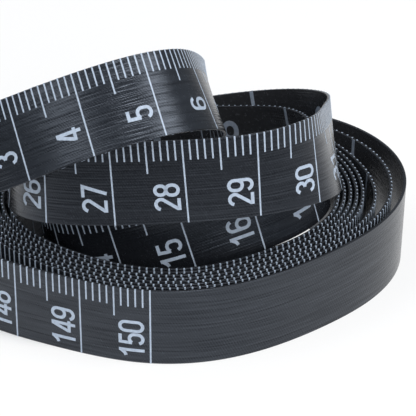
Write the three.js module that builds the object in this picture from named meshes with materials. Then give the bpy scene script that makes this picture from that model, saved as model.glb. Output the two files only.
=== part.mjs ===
// A cloth tape measure of 150 cm, loosely wound. It stands on its edge as a coil of seven turns,
// and three loops of its zero end climb out of the eye of the coil.
// Millimetres, +Z up, -Y to the front.
import * as THREE from 'three';

// Tape
const TAPE_WIDTH = 11.8;
const TAPE_THICKNESS = 0.4;

// Coil, counted in turns from the front and counter-clockwise from above
const COIL_CENTRE = [-4.5, -1.0];
const INNER_RADII = [17.6, 17.3, 21.8, 24.0, 23.25, 23.35, 23.2, 18.7];
const TURN_GAP = 0.47;
const FIRST_TURN = -0.25;
const STEPS_PER_TURN = 24;
const COIL_STEPS = 186;
const COIL_LEAN = 3;

// Bulges where a turn stands away from the one inside it, placed and spread in degrees
const BULGES = [
  { turn: 5, angle: 93, spread: 34, reach: 1.0 },
  { turn: 6, angle: 112, spread: 52, reach: 2.8 },
  { turn: 7, angle: -95, spread: 65, reach: 5.5 },
  { turn: 7, angle: 117, spread: 60, reach: 4.4 },
];

// Tail: the last steps of the coil and a straight end
const TAIL_COIL_STEPS = 6;
const TAIL_STEP = 5;
const TAIL_STEPS = 4;

// Guide points of the free loops from the zero end to the coil: x, y, z of the tape's middle,
// and the lean of its upper edge in degrees, outward positive
const LOOP_GUIDES = [
  [-57, 1, 13.5, -8],
  [-48.5, -5.5, 18.3, -8],
  [-39.6, -12, 23, -9],
  [-30, -17.5, 29, -20],
  [-20.3, -21, 35.4, -36],
  [-7.5, -20.5, 39.9, -46],
  [0.5, -12.2, 36.3, -37],
  [0.6, 0.3, 27.5, -8],
  [-0.6, 10.8, 20, 7],
  [-8, 16.3, 13.5, 10],
  [-18.7, 12.8, 7.2, 10],
  [-24.4, 1.8, 5.5, 11],
  [-20.2, -8.7, 7.5, 6],
  [-9, -13.3, 11.8, -9],
  [2.3, -12, 15.3, -15],
  [12.4, -7.7, 17.2, -20],
  [17.3, 3.2, 16.5, -16],
  [11.6, 15.2, 13, 5],
  [-2.2, 20, 9.2, 13],
  [-16.8, 19.1, 13.2, 11],
  [-24.8, 10.4, 19, 6],
  [-28, -2.3, 20.5, -2],
  [-26, -14.9, 23.6, -12],
  [-16.8, -20.2, 25.5, -12],
  [-5, -21.6, 26.7, -8],
  [7.5, -22, 27.8, -7],
  [16.4, -14.2, 26.6, -18],
  [17.3, -2.8, 22.1, -14],
  [17.6, 9, 18, 6],
  [9.8, 18.8, 13.2, 14],
  [-3.5, 21.5, 10, 11],
  [-15.7, 19.8, 7.5, 6],
  [-25.5, 10.5, 6, 5],
];

// Runs of the tape, by the guide interval where each one ends
const ZERO_END = 2;
const UPPER_LOOP_END = 9;
const LOW_LOOP_END = 18;
const COIL_START = LOOP_GUIDES.length;
const TAIL_START = COIL_START + COIL_STEPS - TAIL_COIL_STEPS;
const RUN_GAP = 0.3;
const LOOP_SECTIONS = 6;
const COIL_SECTIONS = 2;

// Metal tips folded over both ends
const TIP_LENGTH = 9;
const TIP_WALL = 0.3;
const TIP_CLEARANCE = 0.35;
const TIP_INSET = 0.2;
const CRIMPS = [4.4, 6.6];
const CRIMP_WIDTH = 0.9;
const CRIMP_DEPTH = 0.14;

const TURN_DEGREES = 360;

// Six times the weights of the guides that shape one interval of a cubic B-spline, and their slopes
const SPLINE_WEIGHTS = [
  (t) => (1 - t) ** 3,
  (t) => 3 * t ** 3 - 6 * t ** 2 + 4,
  (t) => -3 * t ** 3 + 3 * t ** 2 + 3 * t + 1,
  (t) => t ** 3,
];
const SPLINE_SLOPES = [
  (t) => -3 * (1 - t) ** 2,
  (t) => 9 * t ** 2 - 12 * t,
  (t) => -9 * t ** 2 + 6 * t + 3,
  (t) => 3 * t ** 2,
];

const TAPE_COLOUR = 0x202226;
const TIP_COLOUR = 0xb9bcc0;

// Radius of the innermost turn at a place in turns, smoothed between its eight directions
function innerRadius(turn) {
  const count = INNER_RADII.length;
  const place = (((turn % 1) + 1) % 1) * count;
  const index = Math.floor(place);
  const [a, b, c, d] = [-1, 0, 1, 2].map((k) => INNER_RADII[(index + k + count) % count]);
  const t = place - index;
  const bend = (2 * a - 5 * b + 4 * c - d) * t ** 2 + (3 * b - a - 3 * c + d) * t ** 3;
  return b + ((c - a) * t + bend) / 2;
}

function coilRadius(turn) {
  let radius = innerRadius(turn) + (TAPE_THICKNESS + TURN_GAP) * turn;
  for (const bulge of BULGES) {
    const away = Math.abs(TURN_DEGREES * (turn - bulge.turn) - bulge.angle) / bulge.spread;
    if (away < 1) radius += bulge.reach * (0.5 + 0.5 * Math.cos(Math.PI * away));
  }
  return radius;
}

function coilPoint(turn, scale = 1) {
  const angle = 2 * Math.PI * turn;
  const radius = coilRadius(turn) * scale;
  return new THREE.Vector2(COIL_CENTRE[0] + radius * Math.sin(angle), COIL_CENTRE[1] - radius * Math.cos(angle));
}

// Guide points of the whole tape: the loops, the turns of the coil and the straight tail
function tapeGuides() {
  const height = (TAPE_WIDTH / 2) * Math.cos(THREE.MathUtils.degToRad(COIL_LEAN));
  const swell = 3 / (2 + Math.cos((2 * Math.PI) / STEPS_PER_TURN));
  const flat = [];
  for (let step = 0; step <= COIL_STEPS; step += 1) {
    flat.push(coilPoint(FIRST_TURN + step / STEPS_PER_TURN, swell));
  }
  const lastTurn = FIRST_TURN + COIL_STEPS / STEPS_PER_TURN;
  const halfStep = 0.5 / STEPS_PER_TURN;
  const heading = coilPoint(lastTurn + halfStep).sub(coilPoint(lastTurn - halfStep)).normalize();
  const leaving = flat[COIL_STEPS];
  for (let step = 1; step <= TAIL_STEPS; step += 1) {
    flat.push(leaving.clone().addScaledVector(heading, TAIL_STEP * step));
  }
  return [...LOOP_GUIDES, ...flat.map((point) => [point.x, point.y, height, COIL_LEAN])];
}

const GUIDES = tapeGuides();
const TAPE_END = GUIDES.length - SPLINE_WEIGHTS.length + 1;

// A cubic B-spline along the guides: the value and its slope at interval u
function blendGuides(u) {
  const first = Math.min(Math.floor(u), GUIDES.length - SPLINE_WEIGHTS.length);
  const t = u - first;
  const blend = (weights) => [0, 1, 2, 3].map((axis) =>
    weights.reduce((sum, weight, k) => sum + (weight(t) / 6) * GUIDES[first + k][axis], 0));
  return { value: blend(SPLINE_WEIGHTS), slope: blend(SPLINE_SLOPES) };
}

// The tape at interval u: its middle, its direction, its width direction and its outer face
function tapeSection(u) {
  const { value, slope } = blendGuides(u);
  const centre = new THREE.Vector3(...value.slice(0, 3));
  const run = new THREE.Vector3(...slope.slice(0, 3));
  const speed = run.length();
  const along = run.clone().normalize();
  const up = new THREE.Vector3(0, 0, 1).addScaledVector(along, -along.z).normalize();
  const out = along.clone().cross(up);
  const lean = THREE.MathUtils.degToRad(value[3]);
  const across = up.multiplyScalar(Math.cos(lean)).addScaledVector(out, Math.sin(lean));
  const face = along.clone().cross(across);
  return { centre, along, across, face, speed };
}

// Sections of a run, its ends drawn back by half the gap to the next run
function runSections(from, to, perInterval) {
  const start = from === 0 ? from : from + RUN_GAP / 2 / tapeSection(from).speed;
  const end = to === TAPE_END ? to : to - RUN_GAP / 2 / tapeSection(to).speed;
  const count = Math.round((to - from) * perInterval);
  const sections = [];
  for (let k = 0; k <= count; k += 1) {
    sections.push(tapeSection(start + ((end - start) * k) / count));
  }
  return sections;
}

// A closed strip of rectangular sections; a standing strip has its lower edge flat on the floor
function stripGeometry(sections, standing) {
  const corners = [[-1, -1], [1, -1], [1, 1], [-1, 1]];
  const positions = [];
  for (const { centre, across, face } of sections) {
    for (const [side, skin] of corners) {
      const corner = centre.clone();
      corner.addScaledVector(across, (side * TAPE_WIDTH) / 2);
      corner.addScaledVector(face, (skin * TAPE_THICKNESS) / 2);
      if (standing && side < 0) corner.z = 0;
      positions.push(corner.x, corner.y, corner.z);
    }
  }
  const faces = [0, 2, 1, 0, 3, 2];
  for (let k = 0; k < sections.length - 1; k += 1) {
    for (let side = 0; side < 4; side += 1) {
      const [a, b] = [4 * k + side, 4 * k + ((side + 1) % 4)];
      faces.push(a, b, b + 4, a, b + 4, a + 4);
    }
  }
  const last = 4 * (sections.length - 1);
  faces.push(last, last + 1, last + 2, last, last + 2, last + 3);
  const geometry = new THREE.BufferGeometry();
  geometry.setAttribute('position', new THREE.Float32BufferAttribute(positions, 3));
  geometry.setIndex(faces);
  geometry.computeVertexNormals();
  return geometry;
}

// One long side of a tip's profile, from the fold to the mouth, with its pressed crimps
function crimpedSide(half, fold) {
  const points = [new THREE.Vector2(fold, half)];
  for (const crimp of CRIMPS) {
    points.push(new THREE.Vector2(crimp - CRIMP_WIDTH / 2, half));
    points.push(new THREE.Vector2(crimp, half - CRIMP_DEPTH));
    points.push(new THREE.Vector2(crimp + CRIMP_WIDTH / 2, half));
  }
  points.push(new THREE.Vector2(TIP_LENGTH, half));
  return points;
}

// A strip of sheet metal folded over the end of the tape, seen from its edge and drawn out across
function tipGeometry() {
  const inner = TAPE_THICKNESS / 2 + TIP_CLEARANCE;
  const outer = inner + TIP_WALL;
  const fold = TAPE_THICKNESS / 2;
  const profile = new THREE.Shape();
  profile.moveTo(TIP_LENGTH, inner);
  profile.lineTo(fold, inner);
  profile.absarc(fold, 0, inner, Math.PI / 2, (3 * Math.PI) / 2, false);
  profile.lineTo(TIP_LENGTH, -inner);
  for (const point of crimpedSide(outer, fold).reverse()) profile.lineTo(point.x, -point.y);
  profile.absarc(fold, 0, outer, (3 * Math.PI) / 2, Math.PI / 2, true);
  for (const point of crimpedSide(outer, fold).slice(1)) profile.lineTo(point.x, point.y);
  const width = TAPE_WIDTH - 2 * TIP_INSET;
  const geometry = new THREE.ExtrudeGeometry(profile, { depth: width, bevelEnabled: false, curveSegments: 8 });
  return geometry.translate(0, 0, -width / 2);
}

const tapeMaterial = new THREE.MeshStandardMaterial({ color: TAPE_COLOUR, roughness: 0.55, metalness: 0 });
const tipMaterial = new THREE.MeshStandardMaterial({ color: TIP_COLOUR, roughness: 0.3, metalness: 1 });

function tapeRun(name, from, to, perInterval, standing) {
  const mesh = new THREE.Mesh(stripGeometry(runSections(from, to, perInterval), standing), tapeMaterial);
  mesh.name = name;
  return mesh;
}

function crimpedTip(name, u, inward) {
  const { centre, along, across } = tapeSection(u);
  const run = along.multiplyScalar(inward);
  const mesh = new THREE.Mesh(tipGeometry(), tipMaterial);
  mesh.name = name;
  mesh.position.copy(centre);
  mesh.quaternion.setFromRotationMatrix(new THREE.Matrix4().makeBasis(run, across.clone().cross(run), across));
  return mesh;
}

// Least gap of the tape to itself, measured from points across it to each far section's rectangle
function leastGap() {
  const perInterval = 8;
  const apart = 14;
  const samples = [-1, -0.5, 0, 0.5, 1];
  const sections = [];
  let length = 0;
  for (let k = 0; k <= TAPE_END * perInterval; k += 1) {
    const section = tapeSection(k / perInterval);
    const reach = section.speed / perInterval;
    sections.push({ ...section, reach, length });
    length += reach;
  }
  let least = Infinity;
  for (const one of sections) {
    for (const other of sections) {
      if (Math.abs(one.length - other.length) < apart || one.centre.distanceTo(other.centre) > apart) continue;
      for (const sample of samples) {
        const offset = one.centre.clone().addScaledVector(one.across, (sample * TAPE_WIDTH) / 2).sub(other.centre);
        const past = Math.max(Math.abs(offset.dot(other.along)) - other.reach / 2, 0);
        const beyond = Math.max(Math.abs(offset.dot(other.across)) - TAPE_WIDTH / 2, 0);
        least = Math.min(least, Math.hypot(past, beyond, offset.dot(other.face)));
      }
    }
  }
  return { gap: least - TAPE_THICKNESS, length };
}

const measured = leastGap();
console.log(`tape length ${measured.length.toFixed(1)} mm, least gap to itself ${measured.gap.toFixed(2)} mm`);

const tape = new THREE.Group();
tape.add(
  crimpedTip('zero_tip', 0, 1),
  tapeRun('tape_zero_end', 0, ZERO_END, LOOP_SECTIONS, false),
  tapeRun('tape_upper_loop', ZERO_END, UPPER_LOOP_END, LOOP_SECTIONS, false),
  tapeRun('tape_low_loop', UPPER_LOOP_END, LOW_LOOP_END, LOOP_SECTIONS, false),
  tapeRun('tape_middle_loop', LOW_LOOP_END, COIL_START, LOOP_SECTIONS, false),
  tapeRun('tape_coil', COIL_START, TAIL_START, COIL_SECTIONS, true),
  tapeRun('tape_tail', TAIL_START, TAPE_END, COIL_SECTIONS, true),
  crimpedTip('tail_tip', TAPE_END, -1),
);

// The origin is on the floor, under the middle of the whole tape
const middle = new THREE.Box3().setFromObject(tape, true).getCenter(new THREE.Vector3());
tape.position.set(-middle.x, -middle.y, 0);
console.log(`middle of the tape at ${middle.x.toFixed(4)}, ${middle.y.toFixed(4)}`);

const part = new THREE.Group();
part.add(tape);

export default part;
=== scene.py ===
import math

import bpy
import numpy as np
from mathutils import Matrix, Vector


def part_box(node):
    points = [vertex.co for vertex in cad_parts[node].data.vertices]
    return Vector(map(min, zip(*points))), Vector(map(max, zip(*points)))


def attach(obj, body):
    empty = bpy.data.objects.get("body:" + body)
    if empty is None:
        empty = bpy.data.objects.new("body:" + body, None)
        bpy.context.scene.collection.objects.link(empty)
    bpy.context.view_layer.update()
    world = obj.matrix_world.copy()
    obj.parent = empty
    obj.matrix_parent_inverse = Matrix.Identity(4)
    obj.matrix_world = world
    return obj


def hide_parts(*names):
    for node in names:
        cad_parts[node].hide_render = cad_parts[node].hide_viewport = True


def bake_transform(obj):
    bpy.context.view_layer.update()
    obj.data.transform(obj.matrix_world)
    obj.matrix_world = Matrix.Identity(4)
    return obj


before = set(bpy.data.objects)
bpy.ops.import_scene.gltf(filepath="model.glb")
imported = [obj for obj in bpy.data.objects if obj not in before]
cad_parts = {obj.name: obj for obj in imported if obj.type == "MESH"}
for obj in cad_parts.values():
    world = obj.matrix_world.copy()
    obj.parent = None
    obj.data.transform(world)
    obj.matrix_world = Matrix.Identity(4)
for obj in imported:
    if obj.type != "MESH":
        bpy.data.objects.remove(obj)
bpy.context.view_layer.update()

# Sizes are in millimetres, and MM takes them to metres
MM = 0.001

# Tape
TAPE_WIDTH = 11.8
TAPE_THICKNESS = 0.4
EDGE_ROUND = 0.09
EDGE_STEPS = 3
WIDTH_STEPS = 8
SECTION_STEP = 0.6
NORMAL_REACH = 0.05

# The tape's path is a cubic spline, measured at fine steps of each of its intervals
SPLINE_DEGREE = 3
FINE_STEPS = 32

# Coil, counted in turns from the front and counter-clockwise from above
COIL_CENTRE = (-4.5, -1.0)
INNER_RADII = (17.6, 17.3, 21.8, 24.0, 23.25, 23.35, 23.2, 18.7)
TURN_GAP = 0.47
FIRST_TURN = -0.25
STEPS_PER_TURN = 24
COIL_STEPS = 186
TAIL_COIL_STEPS = 6
COIL_LEAN = 3
BULGES = (
    {"turn": 5, "angle": 93, "spread": 34, "reach": 1.0},
    {"turn": 6, "angle": 112, "spread": 52, "reach": 2.8},
    {"turn": 7, "angle": -95, "spread": 65, "reach": 5.5},
    {"turn": 7, "angle": 117, "spread": 60, "reach": 4.4},
)
TAIL_STEP = 5
TAIL_STEPS = 4

# Guide points of the free loops from the zero end to the coil: x, y, z of the tape's middle,
# and the lean of its upper edge in degrees, outward positive
LOOP_GUIDES = (
    (-57, 1, 13.5, -8),
    (-48.5, -5.5, 18.3, -8),
    (-39.6, -12, 23, -9),
    (-30, -17.5, 29, -20),
    (-20.3, -21, 35.4, -36),
    (-7.5, -20.5, 39.9, -46),
    (0.5, -12.2, 36.3, -37),
    (0.6, 0.3, 27.5, -8),
    (-0.6, 10.8, 20, 7),
    (-8, 16.3, 13.5, 10),
    (-18.7, 12.8, 7.2, 10),
    (-24.4, 1.8, 5.5, 11),
    (-20.2, -8.7, 7.5, 6),
    (-9, -13.3, 11.8, -9),
    (2.3, -12, 15.3, -15),
    (12.4, -7.7, 17.2, -20),
    (17.3, 3.2, 16.5, -16),
    (11.6, 15.2, 13, 5),
    (-2.2, 20, 9.2, 13),
    (-16.8, 19.1, 13.2, 11),
    (-24.8, 10.4, 19, 6),
    (-28, -2.3, 20.5, -2),
    (-26, -14.9, 23.6, -12),
    (-16.8, -20.2, 25.5, -12),
    (-5, -21.6, 26.7, -8),
    (7.5, -22, 27.8, -7),
    (16.4, -14.2, 26.6, -18),
    (17.3, -2.8, 22.1, -14),
    (17.6, 9, 18, 6),
    (9.8, 18.8, 13.2, 14),
    (-3.5, 21.5, 10, 11),
    (-15.7, 19.8, 7.5, 6),
    (-25.5, 10.5, 6, 5),
)
COIL_START = len(LOOP_GUIDES)

# Joints, counted in intervals of the path, and how far from the joint, on the wound side, the shown
# tape is split
ZERO_JOINT = 2
TAIL_JOINT = COIL_START + COIL_STEPS - TAIL_COIL_STEPS
PIECE_REACH = 10

# Printed marks: thin solids rooted in the face, whose lines start just below the upper edge and
# wrap a little way over it
EDGE_MARGIN = 0.02
EDGE_WRAP = 0.19
INK_DEPTH = 0.02
INK_ROOT = 0.02
INK_LOW = TAPE_THICKNESS / 2 - INK_ROOT
INK_HIGH = TAPE_THICKNESS / 2 + INK_DEPTH
MITRE_LIMIT = 0.5
ARC_STEPS = 8
FIGURE_ADVANCE = 0.555

# Scale of centimetres on the outer face, from past the zero tip; its numbers read up the tape
CENTIMETRE = 10
SCALE_LENGTH = 1500
FIRST_MARK = 10
STROKE = 0.22
MM_TICK = 2.8
HALF_TICK = 4.55
DIGIT_HEIGHT = 3.6
DIGIT_STROKE = 0.47
DIGIT_GAP = 0.72
NUMBER_CENTRE = -2.05

# Bolder scale of inches on the inner face, from past the zero tip; its numbers read along the tape
INCH = 25.4
INCH_START = 9.8
INCH_COUNT = 60
INCH_STROKE = 0.55
INCH_TICK_STROKE = 0.3
INCH_TICKS = {1: 1.8, 2: 2.8, 3: 1.8, 4: 4.0, 5: 1.8, 6: 2.8, 7: 1.8}
INCH_PARTS = 8
INCH_DIGIT_HEIGHT = 4.8
INCH_DIGIT_STROKE = 0.74
INCH_NUMBER_LEAD = 14.8
INCH_FOOT = -3.65

# Relief of the coated cloth: ribs and streaks along the tape, deeper where the zero end is handled,
# and a twill that slants across them
RIB_PITCH = 0.41
RIB_HEIGHT = 0.002
TWILL_PITCH = 0.34
TWILL_SLANT = 29
TWILL_HEIGHT = 0.002
STREAK_WIDTH = 0.28
STREAK_LENGTH = 10
STREAK_HEIGHT = 0.026
STREAK_DETAIL = 2
HANDLED_LENGTH = (60, 110)
HANDLED_STREAKS = 4.6

# Looks of the coated cloth: tones and roughness vary with its grain, and gloss with its streaks and
# twill; the inner face is painted greyer, painted light that lifts the shade it lies in, and the cut edge
# has less gloss
GRAIN_SIZE = 0.4
GRAIN_DETAIL = 4
TONE_PLACES = (0.3, 0.75)
OUTER_TONES = ((0.0075, 0.0083, 0.0105, 1), (0.0112, 0.0124, 0.0154, 1))
# Painted light: the inner face's tones are lighter than the outer ones, to lift the shade inside the coil
# and loops
LIFTED_INNER_TONES = ((0.018, 0.0185, 0.0205, 1), (0.027, 0.0275, 0.03, 1))
EDGE_BAND = 0.03
EDGE_TONE = (0.015, 0.0155, 0.018, 1)
GLOSS_PLACES = (0.3, 0.7)
CLOTH_GLOSS = (0.36, 0.8)
TWILL_GLOSS = 0.12
EDGE_GLOSS_LOSS = 0.3
GLOSS_TINT = (0.75, 0.845, 1, 1)
ROUGH_PLACES = (0.25, 0.75)
CLOTH_ROUGHNESS = (0.21, 0.29)

# Looks of the inks and of the nickel tips, with the scale of their spots per metre
INK_SPOTS = 2500
INK_DETAIL = 2
INK_PLACES = (0.25, 0.6)
INK_ROUGHNESS = 0.5
INKS = {
    "centimetres": {"name": "scale_ink", "worn": (0.31, 0.365, 0.45, 1), "full": (0.395, 0.46, 0.555, 1)},
    "inches": {"name": "reverse_ink", "worn": (0.16, 0.19, 0.245, 1), "full": (0.22, 0.255, 0.31, 1)},
}
METAL_SPOTS = 1800
METAL_DETAIL = 3
METAL_TONES = ((0.5, 0.5, 0.49, 1), (0.7, 0.69, 0.67, 1))
METAL_ROUGHNESS = (0.22, 0.4)

# Floor, in metres: white round the part, with painted shade further out: pale grey further off, and dark
# far in front, where the loops mirror it. Its glow, the share of its colour seen without shadow, stops
# inside the coil
FLOOR_LOW = (-0.8, -0.8)
FLOOR_HIGH = (0.8, 0.8)
FLOOR_DROP = 0.00005
FLOOR_COLOUR = (0.95, 0.95, 0.95, 1)
# Painted shade: the floor fades to grey further from the part
FAR_SHADE_COLOUR = (0.42, 0.42, 0.43, 1)
FAR_SHADE_RADII = (0.09, 0.19)
# Painted shade: the floor turns dark far in front, so that the loops mirror a dim place there
FRONT_SHADE_COLOUR = (0.055, 0.056, 0.058, 1)
FRONT_SHADE_EDGES = (-0.17, -0.08)
GLOW_COLOUR = (1, 1, 1, 1)
FLOOR_GLOW = 0.75
SHADE_CENTRE = (-0.007, 0.006, 0)
SHADE_RADII = (0.025, 0.029)

# Light: the sky's strength above and below a band at the horizon, and each softbox by its turn from
# the front to the right and its rise in degrees, its distance and width in metres, and its watts
SKY_COLOUR = (0.82, 0.91, 1, 1)
SKY_STRENGTH = 0.38
GROUND_STRENGTH = 0.03
HORIZON_BAND = (-0.1, 0.1)
SOFTBOXES = {
    "right": {"turn": 68, "rise": 46, "away": 0.45, "size": 0.28, "power": 1.05},
    "left": {"turn": -48, "rise": 35, "away": 0.45, "size": 0.17, "power": 0.24},
    "top": {"turn": -88, "rise": 64, "away": 0.5, "size": 0.3, "power": 0.7},
    "front": {"turn": 18, "rise": 28, "away": 1.0, "size": 0.45, "power": 4.8},
}

# Camera of the photograph: focal length in pixels of its square frame, its tilt in degrees and its
# distance from a point on its axis; the range it sees is in metres
FRAME_PIXELS = 416
FOCAL_PIXELS = 6000
CAMERA_TILT = 29.057
CAMERA_DISTANCE = 832.9
CAMERA_TARGET = (0, -2.29, 12)
CAMERA_CLIP = (0.05, 20)
SENSOR = 36


def inner_radius(degrees):
    """Radius of the innermost turn, smoothed between its eight directions."""
    radii = np.array(INNER_RADII)
    count = len(radii)
    place = np.mod(degrees, 360) / (360 / count)
    index = np.floor(place).astype(int)
    a, b, c, d = (radii[(index + k) % count] for k in (-1, 0, 1, 2))
    t = place - index
    bend = (2 * a - 5 * b + 4 * c - d) * t**2 + (3 * b - a - 3 * c + d) * t**3
    return b + ((c - a) * t + bend) / 2


def coil_radius(turn):
    radius = inner_radius(360 * turn) + (TAPE_THICKNESS + TURN_GAP) * turn
    for bulge in BULGES:
        away = np.abs(360 * (turn - bulge["turn"]) - bulge["angle"]) / bulge["spread"]
        swell = 0.5 + 0.5 * np.cos(np.pi * np.minimum(away, 1))
        radius = radius + bulge["reach"] * swell
    return radius


def coil_point(turn, scale=1.0):
    angle = 2 * np.pi * turn
    radius = coil_radius(turn) * scale
    x = COIL_CENTRE[0] + radius * np.sin(angle)
    y = COIL_CENTRE[1] - radius * np.cos(angle)
    return np.stack([x, y], axis=-1)


def tape_guides():
    """Guide points of the whole tape: the loops, the turns of the coil and the straight tail.

    The spline cuts inside its guide points, so those of the coil stand out by a swell.
    """
    height = TAPE_WIDTH / 2 * math.cos(math.radians(COIL_LEAN))
    swell = 3 / (2 + math.cos(2 * math.pi / STEPS_PER_TURN))
    turns = FIRST_TURN + np.arange(COIL_STEPS + 1) / STEPS_PER_TURN
    flat = coil_point(turns, swell)
    half_step = 0.5 / STEPS_PER_TURN
    heading = coil_point(turns[-1] + half_step) - coil_point(turns[-1] - half_step)
    heading = heading / np.linalg.norm(heading)
    tail = flat[-1] + heading * TAIL_STEP * np.arange(1, TAIL_STEPS + 1)[:, None]
    flat = np.vstack([flat, tail])
    level = np.tile([height, COIL_LEAN], (len(flat), 1))
    return np.vstack([LOOP_GUIDES, np.hstack([flat, level])])


GUIDES = tape_guides()
TAPE_END = len(GUIDES) - SPLINE_DEGREE


def unit(vectors):
    return vectors / np.linalg.norm(vectors, axis=-1, keepdims=True)


def tape_section(u):
    """The tape at interval u: its middle, its direction, its width direction and its outer face."""
    first = np.minimum(np.floor(u).astype(int), TAPE_END - 1)
    t = (u - first)[:, None]
    values = ((1 - t) ** 3, 3 * t**3 - 6 * t**2 + 4, -3 * t**3 + 3 * t**2 + 3 * t + 1, t**3)
    slopes = (-3 * (1 - t) ** 2, 9 * t**2 - 12 * t, -9 * t**2 + 6 * t + 3, 3 * t**2)
    value = sum(weight / 6 * GUIDES[first + k] for k, weight in enumerate(values))
    slope = sum(weight / 6 * GUIDES[first + k] for k, weight in enumerate(slopes))
    along = unit(slope[:, :3])
    up = unit(np.array([0.0, 0.0, 1.0]) - along[:, 2:] * along)
    out = np.cross(along, up)
    lean = np.radians(value[:, 3:])
    across = np.cos(lean) * up + np.sin(lean) * out
    return value[:, :3], along, across, np.cross(along, across)


# Length along the tape at fine steps of the intervals
FINE_U = np.linspace(0, TAPE_END, TAPE_END * FINE_STEPS + 1)
FINE_STRIDES = np.diff(tape_section(FINE_U)[0], axis=0)
FINE_LENGTH = np.concatenate([[0], np.cumsum(np.linalg.norm(FINE_STRIDES, axis=1))])
TAPE_LENGTH = FINE_LENGTH[-1]


def length_at(u):
    return float(np.interp(u, FINE_U, FINE_LENGTH))


def coil_corner():
    """Lowest x and y that the standing turns reach, in the tape's own coordinates."""
    middle, _, across, face = tape_section(FINE_U[(FINE_U >= COIL_START) & (FINE_U <= TAIL_JOINT)])
    sides = [
        middle + across * side * TAPE_WIDTH / 2 + face * skin * TAPE_THICKNESS / 2
        for side in (-1, 1)
        for skin in (-1, 1)
    ]
    return np.vstack(sides).min(axis=0)[:2]


# From the tape's own coordinates to the shared frame, by where its coil lies
SHIFT = np.append(np.array(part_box("tape_coil")[0])[:2] / MM - coil_corner(), 0.0)


def on_tape(places):
    """Points of the shared frame, in metres, for places as length, width and height on the tape."""
    places = np.asarray(places, float)
    held = np.clip(places[:, 0], 0, TAPE_LENGTH)
    middle, along, across, face = tape_section(np.interp(held, FINE_LENGTH, FINE_U))
    points = middle + along * (places[:, :1] - held[:, None])
    points = points + across * places[:, 1:2] + face * places[:, 2:3]
    return (points + SHIFT) * MM


def make_object(name, points, faces, material):
    mesh = bpy.data.meshes.new(name)
    mesh.from_pydata(np.asarray(points).tolist(), [], faces)
    mesh.materials.append(material)
    piece = bpy.data.objects.new(name, mesh)
    bpy.context.scene.collection.objects.link(piece)
    return piece


# The tape


def tape_profile():
    """The tape's section as width, height and outward normal, counter-clockwise seen from its far end."""
    flat_width = TAPE_WIDTH / 2 - EDGE_ROUND
    flat_height = TAPE_THICKNESS / 2 - EDGE_ROUND
    points = []
    for corner, (side, skin) in enumerate(((1, -1), (1, 1), (-1, 1), (-1, -1))):
        for step in range(EDGE_STEPS + 1):
            angle = math.radians(90 * (corner - 1 + step / EDGE_STEPS))
            normal = (math.cos(angle), math.sin(angle))
            width = side * flat_width + EDGE_ROUND * normal[0]
            height = skin * flat_height + EDGE_ROUND * normal[1]
            points.append((width, height, *normal))
        # A flat face follows each second corner
        if corner in (1, 3):
            for step in range(1, WIDTH_STEPS):
                width = side * flat_width * (1 - 2 * step / WIDTH_STEPS)
                points.append((width, skin * TAPE_THICKNESS / 2, 0.0, float(skin)))
    return np.array(points)


def tape_piece(name, start, end, material):
    """A closed run of tape between two lengths, smooth along it and across its rounded edges."""
    profile = tape_profile()
    ring = len(profile)
    count = max(2, math.ceil((end - start) / SECTION_STEP))
    lengths = np.linspace(start, end, count + 1)
    places = np.column_stack([
        np.repeat(lengths, ring),
        np.tile(profile[:, 0], len(lengths)),
        np.tile(profile[:, 1], len(lengths)),
    ])
    faces = [list(range(ring - 1, -1, -1))]
    for section in range(count):
        for k in range(ring):
            a, b = section * ring + k, section * ring + (k + 1) % ring
            faces.append([a, b, b + ring, a + ring])
    faces.append([count * ring + k for k in range(ring)])
    piece = make_object(name, on_tape(places), faces, material)
    reach = np.array([NORMAL_REACH, 0.0, 0.0])
    run = on_tape(places + reach) - on_tape(places - reach)
    across = tape_section(np.interp(places[:, 0], FINE_LENGTH, FINE_U))[2]
    outward = unit(np.cross(run, across))
    turn = np.tile(profile[:, 2:], (len(lengths), 1))
    normals = unit(across * turn[:, :1] + outward * turn[:, 1:])
    piece.data.polygons.foreach_set("use_smooth", [True] * len(faces))
    piece.data.normals_split_custom_set_from_vertices(normals.tolist())
    place = piece.data.attributes.new("tape_place", "FLOAT_VECTOR", "POINT")
    place.data.foreach_set("vector", places.astype(np.float32).ravel())
    return piece


# The printed scale


def arc(centre, radii, start, end):
    angles = np.radians(np.linspace(start, end, ARC_STEPS + 1))
    return [(centre[0] + radii[0] * math.cos(a), centre[1] + radii[1] * math.sin(a)) for a in angles]


def upright_oval(left, right, low, high):
    """A closed stroke with straight sides and round ends."""
    radius = (right - left) / 2
    middle = (left + right) / 2
    top = arc((middle, high - radius), (radius, radius), 0, 180)
    return top + arc((middle, low + radius), (radius, radius), 180, 360)


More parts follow.
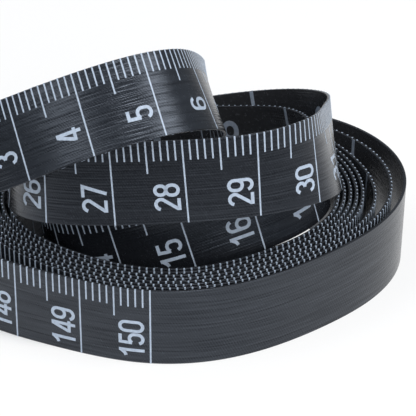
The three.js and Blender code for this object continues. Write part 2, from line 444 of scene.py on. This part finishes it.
# Strokes of each figure in a frame one figure height tall, as points and whether the stroke closes
SIX = [
    (upright_oval(0.06, 0.46, 0.06, 0.57), True),
    ([(0.06, 0.36), (0.06, 0.74)] + arc((0.26, 0.745), (0.2, 0.195), 180, 12), False),
]
FIGURES = {
    "0": [(upright_oval(0.06, 0.46, 0.06, 0.94), True)],
    "1": [([(0.06, 0.72), (0.17, 0.77), (0.3, 0.93)], False), ([(0.31, 1.0), (0.31, 0.0)], False)],
    "2": [
        (arc((0.26, 0.74), (0.2, 0.2), 170, -20) + [(0.07, 0.12), (0.07, 0.06), (0.48, 0.06)], False),
    ],
    "3": [
        (arc((0.25, 0.745), (0.18, 0.195), 165, -85), False),
        (arc((0.255, 0.305), (0.205, 0.245), 88, -165), False),
    ],
    "4": [
        ([(0.37, 0.0), (0.37, 1.0)], False),
        ([(0.33, 0.98), (0.07, 0.28)], False),
        ([(0.02, 0.26), (0.52, 0.26)], False),
    ],
    "5": [
        ([(0.44, 0.94), (0.1, 0.94), (0.08, 0.48)], False),
        (arc((0.265, 0.4), (0.195, 0.18), 150, 0) + arc((0.26, 0.25), (0.2, 0.19), 0, -165), False),
    ],
    "6": SIX,
    "7": [([(0.04, 0.94), (0.46, 0.94), (0.19, 0.0)], False)],
    "8": [
        (upright_oval(0.08, 0.44, 0.53, 0.94), True),
        (upright_oval(0.06, 0.46, 0.06, 0.53), True),
    ],
    "9": [([(0.52 - x, 1.0 - y) for x, y in points], closed) for points, closed in SIX],
}


def closely_spaced(points, closed):
    """The same line with points near enough to follow the bends of the tape."""
    ends = np.roll(points, -1, axis=0)
    line = []
    for start, end in zip(points if closed else points[:-1], ends):
        count = max(1, math.ceil(np.linalg.norm(end - start) / SECTION_STEP))
        line.extend(start + (end - start) * k / count for k in range(count))
    if not closed:
        line.append(points[-1])
    return np.array(line)


class Ink:
    """Printed marks as thin closed solids on one face of the tape: 1 is the outer, -1 the inner."""

    def __init__(self, side):
        self.places = []
        self.faces = []
        self.side = side

    def rings(self, rings, closed):
        """Joins rings of four places into one solid."""
        base = len(self.places)
        count = len(rings)
        for places in rings:
            self.places.extend((s, self.side * w, self.side * h) for s, w, h in places)
        for k in range(count if closed else count - 1):
            here, there = base + 4 * k, base + 4 * ((k + 1) % count)
            for side in range(4):
                other = (side + 1) % 4
                self.faces.append([here + side, here + other, there + other, there + side])
        if not closed:
            last = base + 4 * (count - 1)
            self.faces.append([base + 3, base + 2, base + 1, base])
            self.faces.append([last, last + 1, last + 2, last + 3])

    def stroke(self, points, closed, width):
        """A line of one width along points given as length and width over the face."""
        points = closely_spaced(np.array(points), closed)
        before = np.roll(points, 1, axis=0)
        after = np.roll(points, -1, axis=0)
        if not closed:
            before[0] = 2 * points[0] - points[1]
            after[-1] = 2 * points[-1] - points[-2]
        into, away = unit(points - before), unit(after - points)
        turn = unit(into + away)
        mitre = 1 / np.maximum((turn * into).sum(axis=1), MITRE_LIMIT)
        left = np.column_stack([-turn[:, 1], turn[:, 0]]) * (mitre * width / 2)[:, None]
        rings = [
            [(*(p - n), INK_LOW), (*(p + n), INK_LOW), (*(p + n), INK_HIGH), (*(p - n), INK_HIGH)]
            for p, n in zip(points, left)
        ]
        self.rings(rings, closed)

    def tick(self, length, reach, width):
        """A line from the face's upper edge down, and its wrap over that edge."""
        edge = TAPE_WIDTH / 2
        top = edge - EDGE_MARGIN
        foot = max(edge - reach, -top)
        self.block(length, width, (foot, INK_LOW), (top, INK_HIGH))
        self.block(length, width, (edge - INK_ROOT, INK_HIGH - EDGE_WRAP), (edge + INK_DEPTH, INK_HIGH))

    def block(self, length, width, low, high):
        """A straight line at one length, between two places across the tape."""
        rings = [
            [(s, low[0], low[1]), (s, high[0], low[1]), (s, high[0], high[1]), (s, low[0], high[1])]
            for s in (length - width / 2, length + width / 2)
        ]
        self.rings(rings, False)

    def number(self, value, height, width, place):
        """A number whose points, along its line and up from it, are put on the face by place."""
        for k, figure in enumerate(str(value)):
            for points, closed in FIGURES[figure]:
                line = [place((k * FIGURE_ADVANCE + x) * height, y * height) for x, y in points]
                self.stroke(line, closed, width)

    def piece(self, name, material):
        return make_object(name, on_tape(self.places), self.faces, material)


def number_width(value, height):
    return FIGURE_ADVANCE * height * len(str(value))


def centimetre_number(ink, value, length):
    """Reads up the tape, with its feet beside the line at its length."""
    foot = length - STROKE / 2 - DIGIT_GAP
    first = NUMBER_CENTRE - number_width(value, DIGIT_HEIGHT) / 2
    ink.number(value, DIGIT_HEIGHT, DIGIT_STROKE, lambda x, y: (foot - y, first + x))


def inch_number(ink, value, length):
    """Reads along the tape, ahead of the line at its length."""
    first = length - INCH_NUMBER_LEAD - number_width(value, INCH_DIGIT_HEIGHT) / 2
    ink.number(value, INCH_DIGIT_HEIGHT, INCH_DIGIT_STROKE, lambda x, y: (first + x, INCH_FOOT + y))


def centimetre_scale(ink, start, end):
    for mark in range(FIRST_MARK, SCALE_LENGTH + 1):
        if not start <= mark < end:
            continue
        if mark % CENTIMETRE == 0:
            ink.tick(mark, TAPE_WIDTH, STROKE)
            centimetre_number(ink, mark // CENTIMETRE, mark)
        elif mark % (CENTIMETRE // 2) == 0:
            ink.tick(mark, HALF_TICK, STROKE)
        else:
            ink.tick(mark, MM_TICK, STROKE)


def inch_scale(ink, start, end):
    for inch in range(1, INCH_COUNT + 1):
        length = INCH_START + INCH * inch
        if start <= length < end:
            ink.tick(length, TAPE_WIDTH, INCH_STROKE)
        if start <= length - INCH_NUMBER_LEAD < end:
            inch_number(ink, inch, length)
        for part, reach in INCH_TICKS.items():
            place = length - INCH * part / INCH_PARTS
            if start <= place < end:
                ink.tick(place, reach, INCH_TICK_STROKE)


def printed_scales(name, start, end, inks):
    """The lines and numbers between two lengths, as one piece for each face."""
    pieces = []
    for scale, draw, side in (("centimetres", centimetre_scale, 1), ("inches", inch_scale, -1)):
        ink = Ink(side)
        draw(ink, start, end)
        pieces.append(ink.piece(f"{name}_{scale}", inks[scale]))
    return pieces


# Materials


class Nodes:
    """Short ways to add and join the nodes of one material or world."""

    def __init__(self, owner):
        owner.use_nodes = True
        self.nodes = owner.node_tree.nodes
        self.links = owner.node_tree.links

    def feed(self, socket, value):
        """Gives an input another node's output, or a plain value."""
        if isinstance(value, bpy.types.NodeSocket):
            self.links.new(value, socket)
        else:
            socket.default_value = value

    def maths(self, operation, *values):
        node = self.nodes.new("ShaderNodeMath")
        node.operation = operation
        for socket, value in zip(node.inputs, values):
            self.feed(socket, value)
        return node.outputs[0]

    def wave(self, place, pitch):
        return self.maths("SINE", self.maths("MULTIPLY", place, 2 * math.pi / pitch))

    def axes(self, vector):
        """The X, Y and Z of a vector."""
        node = self.nodes.new("ShaderNodeSeparateXYZ")
        self.feed(node.inputs[0], vector)
        return node.outputs

    def noise(self, vector, scale, detail):
        """Noise over a vector, with its own scale along each axis."""
        mapping = self.nodes.new("ShaderNodeMapping")
        self.feed(mapping.inputs["Scale"], scale)
        self.feed(mapping.inputs["Vector"], vector)
        texture = self.nodes.new("ShaderNodeTexNoise")
        self.feed(texture.inputs["Scale"], 1)
        self.feed(texture.inputs["Detail"], detail)
        self.feed(texture.inputs["Vector"], mapping.outputs[0])
        return texture.outputs["Fac"]

    def spread(self, value, places, ends):
        """Takes a value between two places to one between two ends."""
        node = self.nodes.new("ShaderNodeMapRange")
        self.feed(node.inputs["Value"], value)
        for name, limit in zip(("From Min", "From Max", "To Min", "To Max"), (*places, *ends)):
            self.feed(node.inputs[name], limit)
        return node.outputs[0]

    def ramp(self, value, places, colours):
        """A colour between two, each at its place of a value."""
        node = self.nodes.new("ShaderNodeValToRGB")
        self.feed(node.inputs[0], value)
        for element, place, colour in zip(node.color_ramp.elements, places, colours):
            element.position = place
            element.color = colour
        return node.outputs[0]

    def mixed(self, factor, first, second):
        """One colour where the factor is 0 and another where it is 1."""
        node = self.nodes.new("ShaderNodeMix")
        node.data_type = "RGBA"
        for name, value in (("Factor", factor), ("A", first), ("B", second)):
            self.feed(node.inputs[name], value)
        return node.outputs["Result"]


def new_material(name):
    """A material, its nodes and its shader."""
    material = bpy.data.materials.new(name)
    tree = Nodes(material)
    return material, tree, tree.nodes["Principled BSDF"]


def tape_material():
    """Dark coated cloth, laid out by the place along, across and through the tape."""
    material, tree, shader = new_material("coated_cloth")
    attribute = tree.nodes.new("ShaderNodeAttribute")
    attribute.attribute_name = "tape_place"
    place = attribute.outputs["Vector"]
    length, width, height = tree.axes(place)
    slant = math.radians(TWILL_SLANT)
    across_twill = tree.maths(
        "ADD",
        tree.maths("MULTIPLY", length, math.cos(slant)),
        tree.maths("MULTIPLY", width, math.sin(slant)),
    )
    rib = tree.wave(width, RIB_PITCH)
    twill = tree.wave(across_twill, TWILL_PITCH)
    streak = tree.noise(place, (1 / STREAK_LENGTH, 1 / STREAK_WIDTH, 1), STREAK_DETAIL)
    grain = tree.noise(place, (1 / GRAIN_SIZE,) * 3, GRAIN_DETAIL)
    streak_heights = (HANDLED_STREAKS * STREAK_HEIGHT, STREAK_HEIGHT)
    streak_height = tree.spread(length, HANDLED_LENGTH, streak_heights)
    relief = tree.maths("MULTIPLY", rib, RIB_HEIGHT)
    for layer, size in ((twill, TWILL_HEIGHT), (streak, streak_height)):
        relief = tree.maths("ADD", relief, tree.maths("MULTIPLY", layer, size))
    bump = tree.nodes.new("ShaderNodeBump")
    tree.feed(bump.inputs["Distance"], MM)
    tree.feed(bump.inputs["Height"], relief)
    tree.feed(shader.inputs["Normal"], bump.outputs[0])
    outer_tone = tree.ramp(grain, TONE_PLACES, OUTER_TONES)
    # Painted light: the inner face takes the lighter tones, which lift its shade
    lifted_inner_tone = tree.ramp(grain, TONE_PLACES, LIFTED_INNER_TONES)
    face_tone = tree.mixed(tree.maths("LESS_THAN", height, 0), outer_tone, lifted_inner_tone)
    edge = tree.maths("GREATER_THAN", tree.maths("ABSOLUTE", width), TAPE_WIDTH / 2 - EDGE_BAND)
    tree.feed(shader.inputs["Base Color"], tree.mixed(edge, face_tone, EDGE_TONE))
    gloss = tree.spread(streak, GLOSS_PLACES, CLOTH_GLOSS)
    gloss = tree.maths("ADD", gloss, tree.maths("MULTIPLY", twill, TWILL_GLOSS))
    gloss = tree.maths("SUBTRACT", gloss, tree.maths("MULTIPLY", edge, EDGE_GLOSS_LOSS))
    tree.feed(shader.inputs["Specular IOR Level"], gloss)
    tree.feed(shader.inputs["Specular Tint"], GLOSS_TINT)
    tree.feed(shader.inputs["Roughness"], tree.spread(grain, ROUGH_PLACES, CLOTH_ROUGHNESS))
    return material


def ink_material(name, worn, full):
    """Blue-grey ink, worn a little thin in spots."""
    material, tree, shader = new_material(name)
    place = tree.nodes.new("ShaderNodeTexCoord").outputs["Object"]
    wear = tree.noise(place, (INK_SPOTS,) * 3, INK_DETAIL)
    tree.feed(shader.inputs["Base Color"], tree.ramp(wear, INK_PLACES, (worn, full)))
    tree.feed(shader.inputs["Roughness"], INK_ROUGHNESS)
    return material


def metal_material():
    """Nickel-plated sheet with fine marks."""
    material, tree, shader = new_material("tip_nickel")
    place = tree.nodes.new("ShaderNodeTexCoord").outputs["Object"]
    marks = tree.noise(place, (METAL_SPOTS,) * 3, METAL_DETAIL)
    tree.feed(shader.inputs["Metallic"], 1)
    tree.feed(shader.inputs["Base Color"], tree.ramp(marks, (0, 1), METAL_TONES))
    tree.feed(shader.inputs["Roughness"], tree.spread(marks, (0, 1), METAL_ROUGHNESS))
    return material


# Camera, floor and light


def make_camera():
    tilt = math.radians(CAMERA_TILT)
    look = np.array([0, math.cos(tilt), -math.sin(tilt)])
    data = bpy.data.cameras.new("camera")
    data.sensor_width = SENSOR
    data.lens = SENSOR * FOCAL_PIXELS / FRAME_PIXELS
    data.clip_start, data.clip_end = CAMERA_CLIP
    camera = bpy.data.objects.new("camera", data)
    camera.location = (np.array(CAMERA_TARGET) + SHIFT - look * CAMERA_DISTANCE) * MM
    camera.rotation_mode = "QUATERNION"
    camera.rotation_quaternion = Vector(look).to_track_quat("-Z", "Y")
    bpy.context.scene.collection.objects.link(camera)
    bpy.context.scene.camera = camera


def floor_material():
    """Matt white with a glow that the camera and reflections see, and painted shade: greyer far off and
    dark in front.
    """
    material, tree, shader = new_material("pale_floor")
    tree.feed(shader.inputs["Roughness"], 1)
    tree.feed(shader.inputs["Specular IOR Level"], 0)
    glow = tree.nodes.new("ShaderNodeEmission")
    place = tree.nodes.new("ShaderNodeTexCoord").outputs["Object"]
    distance = tree.nodes.new("ShaderNodeVectorMath")
    distance.operation = "DISTANCE"
    tree.feed(distance.inputs[0], place)
    tree.feed(distance.inputs[1], SHADE_CENTRE)
    away = distance.outputs["Value"]
    # Painted shade: the floor greys with distance from the part
    far = tree.spread(away, FAR_SHADE_RADII, (0, 1))
    # Painted shade: dark far in front, for the loops to mirror
    front = tree.spread(tree.axes(place)["Y"], FRONT_SHADE_EDGES, (1, 0))
    for near, socket in ((FLOOR_COLOUR, shader.inputs["Base Color"]), (GLOW_COLOUR, glow.inputs["Color"])):
        far_shaded = tree.mixed(far, near, FAR_SHADE_COLOUR)
        tree.feed(socket, tree.mixed(front, far_shaded, FRONT_SHADE_COLOUR))
    path = tree.nodes.new("ShaderNodeLightPath")
    seen = path.outputs["Is Camera Ray"]
    for ray in ("Is Glossy Ray", "Is Transmission Ray"):
        seen = tree.maths("MAXIMUM", seen, path.outputs[ray])
    glowing = tree.maths("MULTIPLY", seen, tree.spread(away, SHADE_RADII, (0, FLOOR_GLOW)))
    mix = tree.nodes.new("ShaderNodeMixShader")
    for socket, source in zip(mix.inputs, (glowing, shader.outputs[0], glow.outputs[0])):
        tree.feed(socket, source)
    tree.feed(tree.nodes["Material Output"].inputs["Surface"], mix.outputs[0])
    return material


def make_floor():
    left, front = FLOOR_LOW
    right, back = FLOOR_HIGH
    corners = [(left, front), (right, front), (right, back), (left, back)]
    points = [(x, y, -FLOOR_DROP) for x, y in corners]
    make_object("floor", points, [[0, 1, 2, 3]], floor_material())


def area_light(name, turn, rise, away, size, power):
    data = bpy.data.lights.new(name, "AREA")
    data.size = size
    data.energy = power
    turn, rise = math.radians(turn), math.radians(rise)
    toward = Vector((math.cos(rise) * math.sin(turn), -math.cos(rise) * math.cos(turn), math.sin(rise)))
    lamp = bpy.data.objects.new(name, data)
    lamp.location = toward * away
    lamp.rotation_mode = "QUATERNION"
    lamp.rotation_quaternion = (-toward).to_track_quat("-Z", "Y")
    bpy.context.scene.collection.objects.link(lamp)


def make_light():
    world = bpy.data.worlds.new("studio")
    tree = Nodes(world)
    sky = tree.nodes["Background"]
    toward = tree.nodes.new("ShaderNodeTexCoord").outputs["Generated"]
    strength = tree.spread(tree.axes(toward)["Z"], HORIZON_BAND, (GROUND_STRENGTH, SKY_STRENGTH))
    tree.feed(sky.inputs["Color"], SKY_COLOUR)
    tree.feed(sky.inputs["Strength"], strength)
    bpy.context.scene.world = world
    for name, softbox in SOFTBOXES.items():
        area_light(name, **softbox)


# The assembly


def dress_tape():
    cloth = tape_material()
    inks = {scale: ink_material(**ink) for scale, ink in INKS.items()}
    zero_joint, tail_joint = length_at(ZERO_JOINT), length_at(TAIL_JOINT)
    zero_split, tail_split = zero_joint + PIECE_REACH, tail_joint - PIECE_REACH
    zero_end = tape_piece("zero_end_cloth", 0, zero_split, cloth)
    wound = tape_piece("wound_cloth", zero_split, tail_split, cloth)
    tail = tape_piece("tail_cloth", tail_split, TAPE_LENGTH, cloth)
    zero_scales = printed_scales("zero_end", 0, zero_split, inks)
    wound_scales = printed_scales("wound", zero_split, tail_split, inks)
    for piece in (zero_end, *zero_scales):
        bend_at(piece)
    bend_at(tail)
    for piece in (wound, *wound_scales):
        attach(piece, "wound_tape")
    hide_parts("tape_zero_end")
    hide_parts("tape_upper_loop", "tape_low_loop", "tape_middle_loop", "tape_coil")
    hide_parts("tape_tail")


def bend_at(piece):
    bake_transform(piece)


def dress_tips():
    metal = metal_material()
    for node in ("zero_tip", "tail_tip"):
        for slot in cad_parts[node].material_slots:
            slot.material = metal


dress_tape()
dress_tips()
make_floor()
make_light()
make_camera()
bpy.context.scene.view_settings.view_transform = "Standard"
